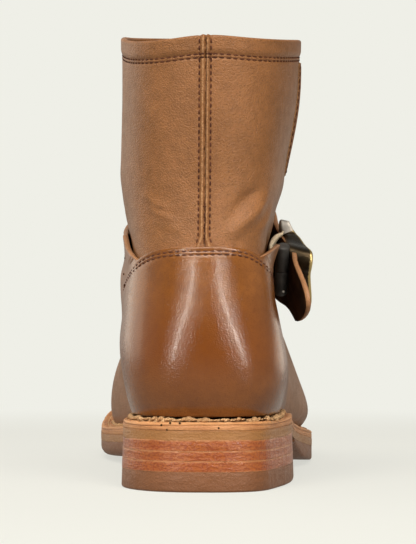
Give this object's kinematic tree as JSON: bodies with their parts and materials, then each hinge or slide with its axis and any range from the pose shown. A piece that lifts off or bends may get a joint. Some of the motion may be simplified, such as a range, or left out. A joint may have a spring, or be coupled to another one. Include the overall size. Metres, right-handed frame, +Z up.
{
  "type": "ankle bootie",
  "caption": "Short pull-on leather boot for the right foot with a hollow shaft, burnished heel counter, buckled instep strap, welted sole and stacked heel",
  "frame": {"origin": "middle of the shoe's bounding box, on the floor it stands on", "axes": "+Y from the heel to the toe, +X to the outer (lateral) side of the right foot, +Z up from the floor"},
  "size_m": [0.1, 0.2706, 0.1821],
  "materials": {
    "shaft_leather": "satin tan-brown leather with fine grain",
    "counter_leather": "burnished brown leather, glossier",
    "welt_leather": "natural orange-tan leather, rough top",
    "natural_leather": "beige-olive sole leather with a trimmed edge",
    "stacked_leather": "reddish stacked leather with a waxed edge",
    "sole_rubber": "matt brown rubber",
    "lining": "pale unfinished lining leather",
    "antique_brass": "antique brass, darkened in its hollows",
    "dark_steel": "blackened steel, satin"
  },
  "bodies": {
    "root": {"upper": "shaft_leather", "side_panel": "shaft_leather", "heel_counter": "counter_leather", "strap": "counter_leather", "strap_tab": "counter_leather", "welt": "welt_leather", "midsole": "natural_leather", "heel_lift_1": "stacked_leather", "heel_lift_2": "stacked_leather", "heel_lift_3": "stacked_leather", "heel_top_lift": "sole_rubber", "outsole": "sole_rubber", "insole": "lining", "buckle_frame": "antique_brass", "buckle_prong": "antique_brass", "buckle_roller": "dark_steel"}
  },
  "joints": []
}
